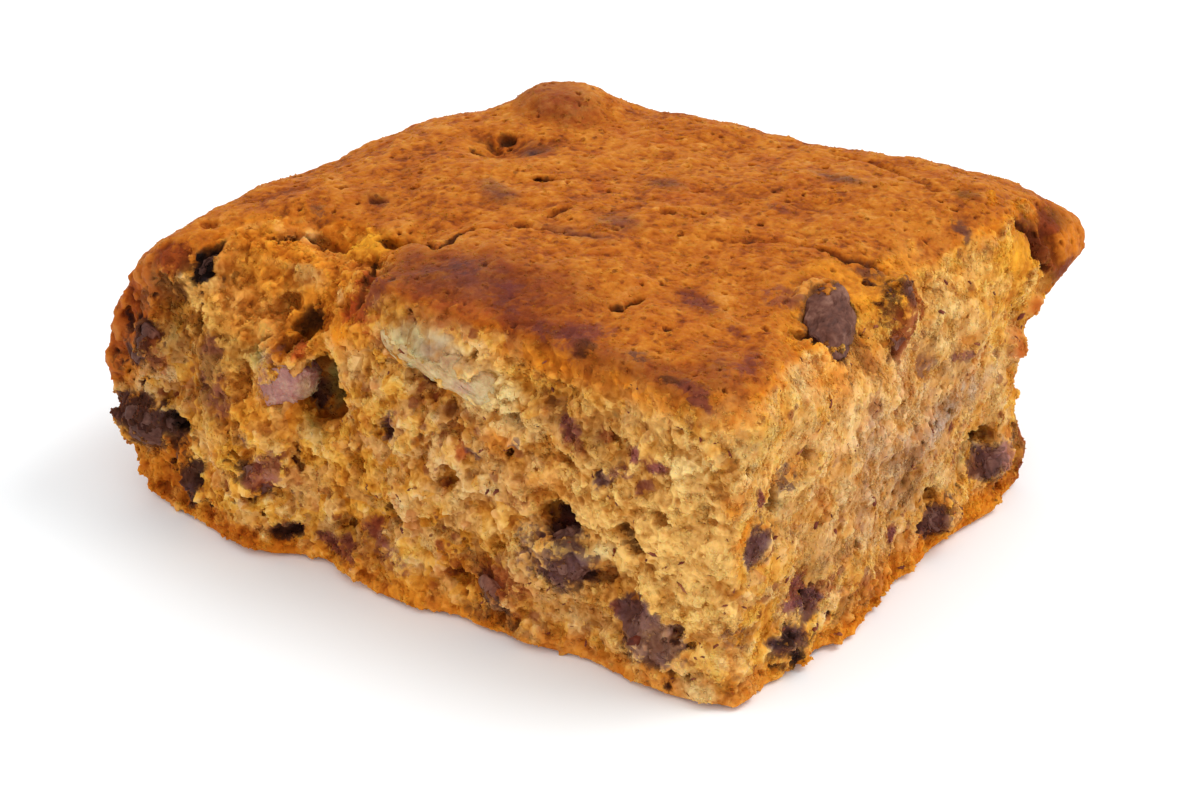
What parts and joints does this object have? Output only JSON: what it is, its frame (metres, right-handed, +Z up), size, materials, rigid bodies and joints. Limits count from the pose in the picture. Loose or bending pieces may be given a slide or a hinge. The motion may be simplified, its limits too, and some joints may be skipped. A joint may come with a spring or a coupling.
{
  "type": "banana bread",
  "caption": "Corner square of tray-baked banana bread, with browned crust on top and two sides, and crumb, chocolate and banana at two torn cuts.",
  "frame": {"origin": "middle of the base, on the surface it rests on", "axes": "+X along the front cut to the corner where the two cuts meet, +Y towards the baked back side, +Z up through the top crust"},
  "size_m": [0.0936, 0.0792, 0.0399],
  "materials": {
    "bread": "matt baked crumb and browned crust",
    "chocolate": "dull dark chocolate",
    "banana": "moist baked banana"
  },
  "bodies": {
    "root": {"bread": "bread", "chocolate_top_edge": "chocolate", "chocolate_left_low": "chocolate", "chocolate_left_mid": "chocolate", "chocolate_left_top": "chocolate", "chocolate_left_base": "chocolate", "chocolate_front_left": "chocolate", "chocolate_front_low": "chocolate", "chocolate_front_middle": "chocolate", "chocolate_front_base": "chocolate", "chocolate_right_top": "chocolate", "chocolate_right_middle": "chocolate", "chocolate_right_base": "chocolate", "chocolate_right_low": "chocolate", "chocolate_right_far": "chocolate", "banana_front_hole": "banana", "banana_front_slice": "banana", "banana_right_slice": "banana"}
  },
  "joints": []
}
